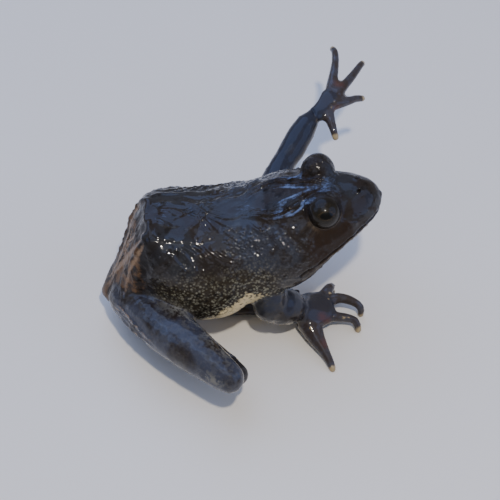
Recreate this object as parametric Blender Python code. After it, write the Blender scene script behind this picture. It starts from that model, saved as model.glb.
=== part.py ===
"""Berg stream frog, life size, sitting on the floor with its left arm reached out to the side.

The body is laid out in its own frame, in millimetres: forward from the sacral hump, left, and up from
the line of the back. place() pitches it head up and stands it on the floor. The limbs are laid out
on the floor itself, where X is forward, Y is left and Z is up.
"""

import math

import bpy
import bmesh
import numpy as np
from mathutils import Vector

MM = 0.001
GAP = 0.3                     # clearance between neighbouring nodes

# Driving sizes of the animal
HUMP_HEIGHT = 21.0            # floor to the top of the sacral hump
BODY_PITCH = 8.0              # degrees, head up
EYE_RADIUS = 2.3
EYE_FORWARD = 24.0            # eye centre, forward of the hump
EYE_APART = 3.9               # eye centre to the midline
EYE_LEVEL = -0.3
LID_RADIUS = 2.7
LID_OPENING = (2.15, 1.95)     # half length and half height of the slit between the lids
# The way that each eye looks: forward, out to its side and up
EYE_WAYS = {1: (0.2, 0.88, 0.36), -1: (0.14, 0.82, 0.5)}
NOSTRIL = (29.1, 1.5, 0.3)    # forward, half spacing, level
NOSTRIL_RADIUS = 0.42
LID_LENGTH = 1.05             # length of the lids over their height
MOUTH_HALF = 15.0             # half width of the slab that parts the jaws, past both cheeks
BODY_SIDES = 24
LIMB_SIDES = 12
DIGIT_SIDES = 8

# The planes that part head, torso and pelvis: a point on the midline and the way forward
NECK_CUT = ((16.6, -6.0), (1.0, 0.12))
SACRAL_CUT = ((-0.6, -6.0), (0.98, 0.2))

SKIN_DARK = (0.035, 0.034, 0.032)
SKIN_FLANK = (0.085, 0.075, 0.055)
SKIN_LIMB = (0.05, 0.045, 0.042)
DIGIT_BROWN = (0.12, 0.085, 0.065)
EYE_BROWN = (0.02, 0.014, 0.01)

# Sections of the body from the snout to the vent, in the body's frame:
# top (forward, level), bottom (forward, level), share of the depth down to the widest line,
# half width, squareness of the upper and of the lower half
BODY_SECTIONS = [
    ((31.9, -1.9), (31.7, -4.2), 0.62, 1.4, 2.0, 2.0),
    ((31.3, -1.1), (30.8, -5.2), 0.62, 2.5, 2.0, 2.0),
    ((30.2, -0.4), (29.4, -6.2), 0.62, 3.7, 2.0, 2.0),
    ((28.2, 0.2), (27.4, -7.4), 0.62, 5.1, 2.0, 2.0),
    ((25.6, 0.5), (24.6, -8.8), 0.62, 6.6, 1.9, 2.1),
    ((22.6, 0.6), (21.4, -10.8), 0.64, 8.0, 1.9, 2.6),
    ((19.6, 0.4), (18.6, -12.3), 0.64, 8.8, 1.9, 2.9),
    ((16.6, -0.1), (16.0, -13.6), 0.63, 8.6, 2.0, 2.6),
    ((13.2, -0.9), (13.0, -14.8), 0.63, 8.8, 2.1, 2.1),
    ((9.5, -1.3), (9.6, -16.6), 0.66, 9.6, 2.2, 2.0),
    ((5.5, -1.1), (5.6, -17.3), 0.66, 9.8, 2.3, 2.0),
    ((2.0, -0.4), (2.0, -17.4), 0.62, 8.7, 2.7, 2.0),
    ((-0.2, 0.0), (-0.4, -17.0), 0.58, 7.2, 3.4, 2.0),
    ((-2.3, -2.6), (-2.2, -16.6), 0.55, 6.0, 3.4, 2.0),
    ((-4.4, -7.2), (-3.8, -16.2), 0.52, 5.0, 2.8, 2.0),
    ((-6.7, -11.4), (-5.8, -16.4), 0.50, 4.0, 2.4, 2.0),
    ((-8.8, -14.0), (-7.8, -17.2), 0.50, 2.5, 2.0, 2.0),
]
SNOUT_TIP = (32.3, -2.9)
VENT_TIP = (-9.9, -15.8)

# Mouth line seen from the side, from the snout to the corner of the jaw, then the throat cut
MOUTH_LINE = [(34.0, -3.5), (30.5, -3.9), (26.5, -4.9), (22.6, -6.2), (19.8, -7.0)]
THROAT_CUT = [(18.6, -9.4), (17.9, -16.0), (34.0, -16.0)]

# Arms on the floor frame: joints of the right arm, then of the left one
RIGHT_ARM = {
    "shoulder": (15.8, -5.2, 14.6),
    "elbow": (16.5, -6.7, 7.6),
    "wrist": (20.8, -4.7, 4.1),
    "palm": (22.9, -4.2, 2.9),
    "knuckles": (24.7, -3.9, 2.4),
    "upper": [2.3, 2.5, 2.5],
    "forearm": [2.4, 2.85, 2.7, 1.95],
    "hand": [2.1, 2.85, 2.8],
    "fingers": {1: [1.2, 0.95, 0.7, 0.5], 2: [1.1, 0.85, 0.65, 0.5], 3: [1.0, 0.75, 0.6, 0.5],
                4: [2.0, 1.3, 0.75, 0.5]},
    "digits": {
        1: [(23.4, -3.3, 2.4), (25.5, -1.1, 2.6), (26.4, 0.2, 2.2), (26.4, -0.4, 0.38)],
        2: [(24.3, -3.7, 2.3), (26.3, -2.5, 2.6), (27.8, -2.4, 2.6), (29.3, -2.9, 2.3), (30.3, -3.5, 1.7),
            (30.4, -3.8, 0.38)],
        3: [(24.3, -5.0, 2.1), (26.1, -5.3, 2.1), (27.8, -5.4, 1.9), (29.3, -5.8, 1.5), (29.7, -6.6, 0.38)],
        4: [(22.5, -6.0, 2.2), (23.2, -8.4, 1.6), (24.1, -10.4, 1.2), (24.8, -12.0, 0.8),
            (25.2, -13.3, 0.38)],
    },
}
LEFT_ARM = {
    "shoulder": (15.8, 5.2, 14.6),
    "elbow": (19.95, 12.8, 15.5),
    "wrist": (24.85, 19.9, 18.2),
    "palm": (27.1, 22.3, 18.8),
    "knuckles": (28.1, 23.2, 18.8),
    "upper": [2.1, 2.0, 1.9],
    "forearm": [1.8, 1.95, 1.85, 1.4],
    "hand": [1.4, 1.6, 1.35],
    "fingers": {1: [1.25, 0.8, 0.6, 0.5], 2: [1.0, 0.72, 0.6, 0.5], 3: [1.0, 0.72, 0.6, 0.5],
                4: [1.0, 0.72, 0.6, 0.5]},
    "digits": {
        1: [(27.1, 20.4, 18.3), (27.6, 18.7, 17.7), (27.9, 17.5, 17.2), (28.1, 16.8, 16.6)],
        2: [(28.3, 21.7, 18.6), (30.3, 22.6, 18.0), (31.8, 23.7, 17.4), (33.0, 24.5, 16.6)],
        3: [(28.8, 23.4, 18.7), (30.5, 25.7, 18.6), (31.9, 27.6, 18.5), (33.2, 29.8, 18.2),
            (33.7, 30.7, 17.8)],
        4: [(28.1, 24.0, 18.8), (28.9, 27.4, 18.9), (29.5, 30.3, 18.8), (29.7, 32.6, 18.6),
            (29.5, 33.6, 18.3)],
    },
}

# Legs on the floor frame: joints, then the way that the foot points
RIGHT_LEG = {
    "thigh": [(-3.6, -3.0, 6.4), (3.0, -12.3, 8.8), (9.75, -20.0, 9.2)],
    "shank": [(11.1, -18.0, 7.0), (3.9, -9.2, 4.4), (-3.4, -2.9, 3.0)],
    "tarsus": [(-3.3, -2.4, 1.5), (5.8, -1.0, 1.1)],
    "heading": 3.5,
    "side": -1.0,
    "spread": 0.6,
}
LEFT_LEG = {
    "thigh": [(-1.6, 3.4, 6.4), (7.6, 10.4, 7.6), (16.8, 12.6, 7.6)],
    "shank": [(17.6, 13.4, 5.2), (6.8, 12.4, 3.8), (-2.4, 5.0, 2.9)],
    "tarsus": [(-3.0, 5.2, 1.5), (7.6, 11.0, 1.1)],
    "heading": 18.0,
    "side": 1.0,
    "spread": 1.0,
}
THIGH_RADII = [2.8, 3.4, 3.5, 3.0, 2.2]
SHANK_RADII = [1.6, 2.2, 2.3, 1.8, 1.4]
TARSUS_RADII = [1.3, 1.1, 1.0, 1.05]
# Toes 1 to 5: length from the instep in mm, and turn in degrees away from the body's midline
TOES = {1: (9.6, -22.0), 2: (12.3, -13.5), 3: (15.8, -6.0), 4: (19.8, 1.0), 5: (15.4, 9.0)}
TOE_RADII = [0.85, 0.7, 0.55, 0.42]
TOE_LEVELS = (0.85, 0.36)     # middle and tip of a toe
TOE_SPACING = 0.55            # between the bases of two toes
FOOT_BALL = (2.6, 1.9, 1.1)   # half sizes of the ball of the foot
WEB_SHARE = 0.62              # how far the web reaches along the shorter toe of each pair
WEB_SCALLOP = 0.86            # depth of the web between two toes over its reach along them
WEB_THICKNESS = 0.6
WEB_LEVEL = 0.27
PALM_FLATNESS = 0.6           # height over width


def clear_scene():
    for old in list(bpy.data.objects):
        bpy.data.objects.remove(old)


def material(name, colour, roughness):
    made = bpy.data.materials.new(name)
    made.use_nodes = True
    shader = made.node_tree.nodes["Principled BSDF"]
    shader.inputs["Base Color"].default_value = (*colour, 1.0)
    shader.inputs["Roughness"].default_value = roughness
    shader.inputs["Metallic"].default_value = 0.0
    return made


def place(forward, left, level):
    """A point of the body's own frame, set on the floor frame, in millimetres."""
    pitch = math.radians(BODY_PITCH)
    return Vector((
        forward * math.cos(pitch) - level * math.sin(pitch),
        left,
        HUMP_HEIGHT + forward * math.sin(pitch) + level * math.cos(pitch),
    ))


def smooth_rows(rows, steps):
    """Rows of numbers read from a smooth curve through the given ones."""
    rows = [np.array(row, float) for row in rows]
    padded = [2 * rows[0] - rows[1], *rows, 2 * rows[-1] - rows[-2]]
    found = []
    for i in range(1, len(rows)):
        a, b, c, d = padded[i - 1:i + 3]
        for k in range(steps):
            t = k / steps
            found.append(0.5 * (
                2 * b + (c - a) * t + (2 * a - 5 * b + 4 * c - d) * t ** 2
                + (3 * b - a - 3 * c + d) * t ** 3
            ))
    found.append(rows[-1])
    return found


def power(value, exponent):
    return math.copysign(abs(value) ** exponent, value)


def add_object(name, mesh, look):
    made = bpy.data.objects.new(name, mesh)
    bpy.context.scene.collection.objects.link(made)
    mesh.materials.clear()
    mesh.materials.append(look)
    return made


def face_outward(shape):
    """Turns the faces of a closed shape so that all of them look outward."""
    bmesh.ops.recalc_face_normals(shape, faces=shape.faces)
    if shape.calc_volume(signed=True) < 0:
        bmesh.ops.reverse_faces(shape, faces=shape.faces)


def loft(name, rings, ends, look):
    """A closed body through rings of points, closed at each end by a point."""
    mesh = bpy.data.meshes.new(name)
    shape = bmesh.new()
    loops = [[shape.verts.new(Vector(p) * MM) for p in ring] for ring in rings]
    count = len(loops[0])
    for one, two in zip(loops, loops[1:]):
        for k in range(count):
            n = (k + 1) % count
            shape.faces.new((one[k], one[n], two[n], two[k]))
    for loop, end in ((loops[0], ends[0]), (loops[-1], ends[1])):
        pole = shape.verts.new(Vector(end) * MM)
        for k in range(count):
            shape.faces.new((loop[k], pole, loop[(k + 1) % count]))
    face_outward(shape)
    bmesh.ops.triangulate(shape, faces=shape.faces)
    shape.to_mesh(mesh)
    shape.free()
    return add_object(name, mesh, look)


def body(name, grow, look):
    """The whole of head, torso and pelvis as one body, swollen by grow."""
    rows = [(*top, *bottom, waist, half, up, down)
            for top, bottom, waist, half, up, down in BODY_SECTIONS]
    rings = []
    for row in smooth_rows(rows, 2):
        top, bottom = np.array(row[0:2]), np.array(row[2:4])
        waist, half, up, down = row[4:8]
        depth = np.linalg.norm(top - bottom)
        axis = (top - bottom) / depth
        centre = top + (bottom - top) * waist
        ring = []
        for k in range(BODY_SIDES):
            angle = 2 * math.pi * (k + 0.5) / BODY_SIDES
            c, s = math.cos(angle), math.sin(angle)
            square = 2 / (up if s > 0 else down)
            rise = depth * waist if s > 0 else depth * (1 - waist)
            across = (half + grow) * power(c, square)
            along = (rise + grow) * power(s, square)
            point = centre + axis * along
            ring.append(place(point[0], across, point[1]))
        rings.append(ring)
    ends = (
        place(SNOUT_TIP[0] + grow, 0, SNOUT_TIP[1]),
        place(VENT_TIP[0] - grow, 0, VENT_TIP[1]),
    )
    return loft(name, rings, ends, look)


def tube(name, joints, radii, look, flat=1.0, sides=LIMB_SIDES, steps=3, grow=0.0):
    """A round-ended limb through its joints; flat is its height over its width."""
    joints = [np.array(j, float) for j in joints]
    path = smooth_rows(joints, steps)
    travel = np.concatenate([[0], np.cumsum([np.linalg.norm(b - a) for a, b in zip(path, path[1:])])])
    widths = np.interp(travel / travel[-1], np.linspace(0, 1, len(radii)), radii) + grow
    rings = []
    directions = []
    for k in range(len(path)):
        ahead = path[min(k + 1, len(path) - 1)] - path[max(k - 1, 0)]
        directions.append(ahead / np.linalg.norm(ahead))

    def ring(centre, forward, radius):
        side = np.cross(forward, (0, 0, 1.0))
        side = side / np.linalg.norm(side)
        up = np.cross(side, forward)
        return [
            centre + side * radius * math.cos(a) + up * radius * flat * math.sin(a)
            for a in (2 * math.pi * (i + 0.5) / sides for i in range(sides))
        ]

    for share in (0.5, 0.86):
        back = widths[0] * math.sqrt(1 - share ** 2)
        rings.append(ring(path[0] - directions[0] * back * flat, directions[0], widths[0] * share))
    for centre, forward, radius in zip(path, directions, widths):
        rings.append(ring(centre, forward, radius))
    for share in (0.86, 0.5):
        on = widths[-1] * math.sqrt(1 - share ** 2)
        rings.append(ring(path[-1] + directions[-1] * on * flat, directions[-1], widths[-1] * share))
    ends = (path[0] - directions[0] * widths[0] * flat, path[-1] + directions[-1] * widths[-1] * flat)
    return loft(name, rings, ends, look)


def ball(name, centre, size, look, turn=0.0, rings=10, segments=16):
    """An ellipsoid of half sizes (forward, left, up), in mm, turned about Z by turn degrees."""
    mesh = bpy.data.meshes.new(name)
    shape = bmesh.new()
    bmesh.ops.create_uvsphere(shape, u_segments=segments, v_segments=rings, radius=1.0)
    c, s = math.cos(math.radians(turn)), math.sin(math.radians(turn))
    for v in shape.verts:
        x, y, z = v.co.x * size[0], v.co.y * size[1], v.co.z * size[2]
        v.co = (Vector(centre) + Vector((x * c - y * s, x * s + y * c, z))) * MM
    bmesh.ops.triangulate(shape, faces=shape.faces)
    shape.to_mesh(mesh)
    shape.free()
    return add_object(name, mesh, look)


def combine(target, tool, operation, solver="EXACT"):
    """Applies one Boolean to target and removes the tool."""
    modifier = target.modifiers.new("Boolean", "BOOLEAN")
    modifier.operation = operation
    modifier.solver = solver
    modifier.object = tool
    graph = bpy.context.evaluated_depsgraph_get()
    mesh = bpy.data.meshes.new_from_object(target.evaluated_get(graph))
    target.modifiers.clear()
    look = target.data.materials[0]
    target.data = mesh
    mesh.materials.clear()
    mesh.materials.append(look)
    for face in mesh.polygons:
        face.material_index = 0
    bpy.data.objects.remove(tool)
    return target


def copy_of(source, name):
    made = source.copy()
    made.data = source.data.copy()
    made.name = name
    bpy.context.scene.collection.objects.link(made)
    return made


def half_space(obj, point, normal):
    """Keeps the side of obj that normal points to, closed with a flat face. Point is in mm."""
    shape = bmesh.new()
    shape.from_mesh(obj.data)
    cut = bmesh.ops.bisect_plane(
        shape, geom=[*shape.verts, *shape.edges, *shape.faces], dist=1e-7,
        plane_co=Vector(point) * MM, plane_no=Vector(normal), clear_inner=True,
    )
    rim = [e for e in cut["geom_cut"] if isinstance(e, bmesh.types.BMEdge) and e.is_boundary]
    if rim:
        bmesh.ops.contextual_create(shape, geom=rim)
    face_outward(shape)
    bmesh.ops.triangulate(shape, faces=shape.faces)
    shape.to_mesh(obj.data)
    shape.free()
    return obj


def body_plane(cut, shift):
    """A cutting plane of the body, moved forward by shift mm, as a point and a normal on the floor frame."""
    (forward, level), (ahead, rise) = cut
    normal = (place(ahead, 0, rise) - place(0, 0, 0)).normalized()
    return place(forward, 0, level) + normal * shift, normal


def keep_largest(obj):
    """Drops every loose scrap but the largest closed surface."""
    shape = bmesh.new()
    shape.from_mesh(obj.data)
    left = set(shape.verts)
    groups = []
    while left:
        queue = [left.pop()]
        group = list(queue)
        while queue:
            vert = queue.pop()
            for edge in vert.link_edges:
                other = edge.other_vert(vert)
                if other in left:
                    left.remove(other)
                    group.append(other)
                    queue.append(other)
        groups.append(group)
    groups.sort(key=len)
    for group in groups[:-1]:
        bmesh.ops.delete(shape, geom=group, context="VERTS")
    shape.to_mesh(obj.data)
    shape.free()
    return obj


def prism(name, outline, half, look):
    """A slab of the body's side view outline (forward, level), half mm to each side."""
    mesh = bpy.data.meshes.new(name)
    shape = bmesh.new()
    near = [shape.verts.new(place(a, -half, b) * MM) for a, b in outline]
    far = [shape.verts.new(place(a, half, b) * MM) for a, b in outline]
    count = len(outline)
    shape.faces.new(near)
    shape.faces.new(list(reversed(far)))
    for k in range(count):
        n = (k + 1) % count
        shape.faces.new((near[k], far[k], far[n], near[n]))
    face_outward(shape)
    bmesh.ops.triangulate(shape, faces=shape.faces)
    shape.to_mesh(mesh)
    shape.free()
    return add_object(name, mesh, look)


def eye_frame(side):
    """Centre of the eye on one side and the outward, forward and upward ways of its opening."""
    centre = place(EYE_FORWARD, side * EYE_APART, EYE_LEVEL)
    ahead, aside, rise = EYE_WAYS[side]
    outward = (place(ahead, side * aside, rise) - place(0, 0, 0)).normalized()
    forward = (place(1.0, 0.0, 0.12) - place(0, 0, 0)).normalized()
    forward = (forward - outward * forward.dot(outward)).normalized()
    return centre, outward, forward, outward.cross(forward)


def lid_cutter(side, look):
    """The slit between the lids: a flattened ball pushed out of the eye."""
    centre, outward, forward, upward = eye_frame(side)
    mesh = bpy.data.meshes.new("lid_cutter")
    shape = bmesh.new()
    bmesh.ops.create_uvsphere(shape, u_segments=16, v_segments=10, radius=1.0)
    for v in shape.verts:
        local = (
            forward * v.co.x * LID_OPENING[0] + upward * v.co.y * LID_OPENING[1]
            + outward * v.co.z * EYE_RADIUS
        )
        v.co = (centre + outward * EYE_RADIUS + local) * MM
    face_outward(shape)
    bmesh.ops.triangulate(shape, faces=shape.faces)
    shape.to_mesh(mesh)
    shape.free()
    return add_object("lid_cutter", mesh, look)


def make_head(look, eye_look):
    """Head and lower jaw, parted along the mouth, with lids round each eye, and the eyes."""
    head = body("head", 0.0, look)
    half_space(head, *body_plane(NECK_CUT, GAP / 2))
    for side in (1, -1):
        centre = place(EYE_FORWARD, side * EYE_APART, EYE_LEVEL)
        combine(head, ball("lid", centre, [LID_RADIUS * LID_LENGTH, LID_RADIUS, LID_RADIUS], look), "UNION")
    for side in (1, -1):
        centre = place(EYE_FORWARD, side * EYE_APART, EYE_LEVEL)
        socket = EYE_RADIUS + GAP
        combine(head, ball("socket", centre, [socket] * 3, look), "DIFFERENCE")
        combine(head, lid_cutter(side, look), "DIFFERENCE")
        hole = place(NOSTRIL[0], side * NOSTRIL[1], NOSTRIL[2])
        combine(head, ball("pit", hole, [NOSTRIL_RADIUS] * 3, look, 0, 6, 10), "DIFFERENCE")
        name = "eye_left" if side > 0 else "eye_right"
        ball(name, centre, [EYE_RADIUS] * 3, eye_look)
    jaw = copy_of(head, "lower_jaw")
    block = prism("jaw_block", [*MOUTH_LINE, *THROAT_CUT], MOUTH_HALF, look)
    combine(jaw, block, "INTERSECT")
    raised = [(a, b + GAP) for a, b in MOUTH_LINE]
    raised[-1] = (MOUTH_LINE[-1][0] - GAP, MOUTH_LINE[-1][1] + GAP)
    moved = [(a - GAP, b) for a, b in THROAT_CUT[:2]] + [THROAT_CUT[2]]
    combine(head, prism("mouth_gap", [*raised, *moved], MOUTH_HALF, look), "DIFFERENCE")
    return keep_largest(head), keep_largest(jaw)


def cut_from(target, makers):
    """Cuts each neighbour, made again with the gap round it, from target."""
    for make in makers:
        combine(target, make(), "DIFFERENCE")
    return keep_largest(target)


def make_arm(word, arm, look, digit_look):
    """Upper arm, forearm, palm and four fingers of one side."""
    def swollen_body():
        return body("swollen", GAP, look)

    def upper(grow=0.0, name="swollen"):
        return tube(name, [arm["shoulder"], arm["elbow"]], arm["upper"], look, grow=grow)

    def fore(grow=0.0, name="swollen"):
        return tube(name, [arm["elbow"], arm["wrist"]], arm["forearm"], look, grow=grow)

    def palm(grow=0.0, name="swollen"):
        joints = [arm["wrist"], arm["palm"], arm["knuckles"]]
        return tube(name, joints, arm["hand"], look, flat=PALM_FLATNESS, grow=grow)

    cut_from(upper(name=f"upper_arm_{word}"), [swollen_body])
    cut_from(fore(name=f"forearm_{word}"), [lambda: upper(GAP)])
    cut_from(palm(name=f"hand_{word}"), [lambda: fore(GAP)])

    def finger(number, grow=0.0, name="swollen"):
        return tube(name, arm["digits"][number], arm["fingers"][number], digit_look,
                    sides=DIGIT_SIDES, steps=2, grow=grow)

    for number in arm["digits"]:
        neighbours = [lambda: palm(GAP), lambda: fore(GAP)]
        if number > 1:
            neighbours.append(lambda: finger(number - 1, GAP))
        cut_from(finger(number, name=f"finger_{number}_{word}"), neighbours)


def make_leg(word, leg, look, digit_look):
    """Thigh, shank, tarsus and webbed foot of one side."""
    def swollen_body():
        return body("swollen", GAP, look)

    def thigh(grow=0.0, name="swollen"):
        return tube(name, leg["thigh"], THIGH_RADII, look, steps=4, grow=grow)

    def shank(grow=0.0, name="swollen"):
        return tube(name, leg["shank"], SHANK_RADII, look, steps=4, grow=grow)

    def tarsus(grow=0.0, name="swollen"):
        return tube(name, leg["tarsus"], TARSUS_RADII, look, steps=4, grow=grow)

    cut_from(thigh(name=f"thigh_{word}"), [swollen_body])
    cut_from(shank(name=f"shank_{word}"), [swollen_body, lambda: thigh(GAP)])
    cut_from(tarsus(name=f"tarsus_{word}"), [swollen_body, lambda: thigh(GAP), lambda: shank(GAP)])
    foot = make_foot(f"foot_{word}", leg, digit_look)
    cut_from(foot, [lambda: tarsus(GAP), lambda: shank(GAP), lambda: thigh(GAP), swollen_body])


def make_foot(name, leg, look):
    """Five toes, the web between them and the ball of the foot, joined into one body."""
    root = Vector(leg["tarsus"][1])
    toes = {}
    for number, (length, turn) in TOES.items():
        angle = math.radians(leg["heading"] + leg["side"] * leg["spread"] * turn)
        way = Vector((math.cos(angle), math.sin(angle), 0))
        across = Vector((-way.y, way.x, 0)) * leg["side"] * (number - 3) * TOE_SPACING
        toes[number] = (root + across, way, length)
    foot = ball(name, root, FOOT_BALL, look, turn=leg["heading"])
    for start, way, length in toes.values():
        middle = start + way * length * 0.5
        end = start + way * length
        middle.z, end.z = TOE_LEVELS
        toe = tube("toe", [start, middle, end], TOE_RADII, look, sides=DIGIT_SIDES, steps=3)
        combine(foot, toe, "UNION")
    return combine(foot, make_web(toes, look), "UNION")


def make_web(toes, look):
    """The web as one scalloped plate, thin and level, from the instep out between the toes."""
    back = toes[3][0] - toes[3][1] * FOOT_BALL[0] * 0.5
    outline = []
    for number, (start, way, length) in toes.items():
        if number > 1:
            other, before, shorter = toes[number - 1]
            reach = min(length, shorter) * WEB_SHARE * WEB_SCALLOP
            outline.append((other + before * reach + start + way * reach) / 2)
        outline.append(start + way * length * WEB_SHARE)
    mesh = bpy.data.meshes.new("web")
    shape = bmesh.new()
    levels = (WEB_LEVEL, WEB_LEVEL + WEB_THICKNESS)
    low, high = [
        [shape.verts.new(Vector((p.x, p.y, level)) * MM) for p in (back, *outline)] for level in levels
    ]
    count = len(low)
    for k in range(1, count - 1):
        shape.faces.new((low[0], low[k], low[k + 1]))
        shape.faces.new((high[0], high[k + 1], high[k]))
    for k in range(count):
        n = (k + 1) % count
        shape.faces.new((low[k], high[k], high[n], low[n]))
    face_outward(shape)
    bmesh.ops.triangulate(shape, faces=shape.faces)
    shape.to_mesh(mesh)
    shape.free()
    return add_object("web", mesh, look)


def lay_flat():
    """Trims whatever would reach under the floor to a small flat at floor level."""
    for obj in bpy.context.scene.objects:
        lowest = min((obj.matrix_world @ v.co).z for v in obj.data.vertices)
        if lowest < 1e-6:
            half_space(obj, (0, 0, 0), (0, 0, 1))


def centre_model():
    """Moves the model so that its origin is at the middle of its box on the floor."""
    points = np.array([v.co for obj in bpy.context.scene.objects for v in obj.data.vertices])
    middle = (points.min(0) + points.max(0)) / 2
    shift = Vector((-middle[0], -middle[1], -points.min(0)[2]))
    for obj in bpy.context.scene.objects:
        for v in obj.data.vertices:
            v.co += shift
    return shift


def main():
    clear_scene()
    dark = material("skin_dark", SKIN_DARK, 0.25)
    flank = material("skin_flank", SKIN_FLANK, 0.3)
    limb = material("skin_limb", SKIN_LIMB, 0.28)
    digit = material("digit_brown", DIGIT_BROWN, 0.35)
    eye = material("eye_brown", EYE_BROWN, 0.08)
    make_head(dark, eye)
    torso = half_space(body("torso", 0.0, flank), *body_plane(SACRAL_CUT, GAP / 2))
    point, normal = body_plane(NECK_CUT, -GAP / 2)
    half_space(torso, point, -normal)
    pelvis = body("pelvis", 0.0, dark)
    point, normal = body_plane(SACRAL_CUT, -GAP / 2)
    half_space(pelvis, point, -normal)
    make_arm("right", RIGHT_ARM, limb, digit)
    make_arm("left", LEFT_ARM, limb, digit)
    make_leg("right", RIGHT_LEG, limb, digit)
    make_leg("left", LEFT_LEG, limb, digit)
    lay_flat()
    return centre_model()


shift = main()
print("moved by", [round(v * 1000, 2) for v in shift])
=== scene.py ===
import math

import bmesh
import bpy
import numpy as np
from mathutils import Matrix, Vector, noise
from mathutils.bvhtree import BVHTree


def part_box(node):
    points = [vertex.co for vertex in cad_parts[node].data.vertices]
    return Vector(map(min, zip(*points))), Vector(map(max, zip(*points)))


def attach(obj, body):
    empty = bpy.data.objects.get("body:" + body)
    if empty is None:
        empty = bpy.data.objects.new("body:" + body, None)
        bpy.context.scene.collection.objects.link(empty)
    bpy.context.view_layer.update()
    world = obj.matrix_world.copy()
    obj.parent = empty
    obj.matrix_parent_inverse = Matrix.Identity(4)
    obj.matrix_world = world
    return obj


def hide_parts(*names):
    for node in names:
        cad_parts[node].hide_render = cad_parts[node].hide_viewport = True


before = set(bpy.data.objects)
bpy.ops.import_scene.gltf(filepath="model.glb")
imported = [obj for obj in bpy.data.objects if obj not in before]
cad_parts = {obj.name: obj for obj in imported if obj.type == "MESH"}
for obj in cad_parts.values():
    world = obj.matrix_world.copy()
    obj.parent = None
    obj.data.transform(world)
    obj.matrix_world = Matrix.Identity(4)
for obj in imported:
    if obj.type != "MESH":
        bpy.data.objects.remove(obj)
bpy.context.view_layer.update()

print("frame loaded:", len(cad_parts), "nodes")

millimetre = 0.001
frogPose = {
    "headUp": 8.0,  # degrees that the back rises towards the head
    "humpHeight": 21.0,  # floor to the top of the hump, in mm
    "eyesFromHump": (23.808, 0.0, 24.043),  # middle of the two eyes, in mm
}
cameraPlan = {
    "place": (-0.613, -149.995, 195.992),  # mm from the foot of the hump
    "right": (0.99668, -0.08004, 0.01493),
    "back": (-0.06223, -0.63060, 0.77361),
    "focalPixels": 1666.67,
    "frameSide": 500,  # pixels
    "sensor": 36.0,  # mm
    "nearest": 0.01,  # m
}


def setMode(mode):
    bpy.ops.object.mode_set(mode=mode)


def clearSelection():
    if bpy.context.object and bpy.context.object.mode != "OBJECT":
        setMode("OBJECT")
    bpy.ops.object.select_all(action="DESELECT")


def pickOnly(piece):
    clearSelection()
    piece.select_set(True)
    bpy.context.view_layer.objects.active = piece


def applyModifier(piece, kind, **settings):
    pickOnly(piece)
    modifier = piece.modifiers.new(kind.lower(), kind)
    for key, value in settings.items():
        setattr(modifier, key, value)
    bpy.ops.object.modifier_apply(modifier=modifier.name)


def fade(value, low, high):  # 0 below low, 1 above high, smooth between
    share = np.clip((value - low) / (high - low), 0.0, 1.0)
    return share * share * (3.0 - 2.0 * share)


def bell(value, width):  # 1 at 0, and close to 0 at twice the width
    return np.exp(-(value / width) ** 2)


def gapTo(points, spot):  # distance of each point to a spot
    return np.linalg.norm(points - np.array(spot), axis=1)


eyeBoxes = {side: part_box("eye_left" if side > 0 else "eye_right") for side in (1, -1)}
eyeSpots = {side: (Vector(low) + Vector(high)) / (2 * millimetre) for side, (low, high) in eyeBoxes.items()}
eyeRadius = (eyeBoxes[1][1][2] - eyeBoxes[1][0][2]) / (2 * millimetre)
humpFoot = (eyeSpots[1] + eyeSpots[-1]) / 2 - Vector(frogPose["eyesFromHump"])
pitch = math.radians(frogPose["headUp"])
aheadWay = Vector((math.cos(pitch), 0.0, math.sin(pitch)))
upWay = Vector((-math.sin(pitch), 0.0, math.cos(pitch)))
leftWay = Vector((0.0, 1.0, 0.0))


def onBody(forward, left, level):  # a place in the body's own frame, in mm
    humpTop = humpFoot + Vector((0, 0, frogPose["humpHeight"]))
    return humpTop + aheadWay * forward + leftWay * left + upWay * level


# camera

cameraRight = Vector(cameraPlan["right"]).normalized()
cameraBack = Vector(cameraPlan["back"])
cameraBack = (cameraBack - cameraRight * cameraBack.dot(cameraRight)).normalized()
cameraUp = cameraBack.cross(cameraRight)
cameraSpot = humpFoot + Vector(cameraPlan["place"])


def makeCamera():
    data = bpy.data.cameras.new("camera")
    data.sensor_width = cameraPlan["sensor"]
    data.lens = cameraPlan["focalPixels"] / cameraPlan["frameSide"] * cameraPlan["sensor"]
    data.clip_start = cameraPlan["nearest"]
    camera = bpy.data.objects.new("camera", data)
    bpy.context.scene.collection.objects.link(camera)
    turn = Matrix((cameraRight, cameraUp, cameraBack)).transposed().to_4x4()
    camera.matrix_world = Matrix.Translation(cameraSpot * millimetre) @ turn
    bpy.context.scene.camera = camera


def lookThrough(x, y):  # the way from the camera through a place in its picture
    half = cameraPlan["frameSide"] / 2
    across = (x - half) / cameraPlan["focalPixels"]
    down = (y - half) / cameraPlan["focalPixels"]
    return (cameraRight * across - cameraUp * down - cameraBack).normalized()


makeCamera()
print("camera set")

# skin: one closed surface over all the flesh

skinPlan = {
    "swell": 0.18,  # mm that each piece grows so that the gaps close
    "weld": 0.0005,  # mm within which doubled corners are one
    "core": 0.3,  # mm that the core in a socket is larger than the eyeball
    "voxel": 0.22,  # mm
    "rounds": 34,  # rounds of smoothing
    "blendRounds": 8,  # rounds that blend one piece's softness into the next
    "pull": 0.55,  # how far a point moves in each round where the flesh is softest
    "shrink": (0.55, 0.25),  # share of the swell that is taken back, and what firm flesh adds to it
    "wristRounds": 260,
    "wristReach": (1.6, 3.2),  # mm from the wrist where its melting fades
    "mostTriangles": 196000,
    "seed": 7,
}
softness = {"head": 0.75, "lower_jaw": 0.6, "torso": 1.0, "pelvis": 0.9, "upper_arm": 0.55, "forearm": 0.5,
            "thigh": 0.7, "shank": 0.5, "hand": 0.5, "tarsus": 0.2, "foot": 0.07, "finger": 0.07}
bodyWords = ("head", "lower_jaw", "torso", "pelvis")
fleshNames = sorted(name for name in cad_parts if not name.startswith("eye"))


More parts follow.
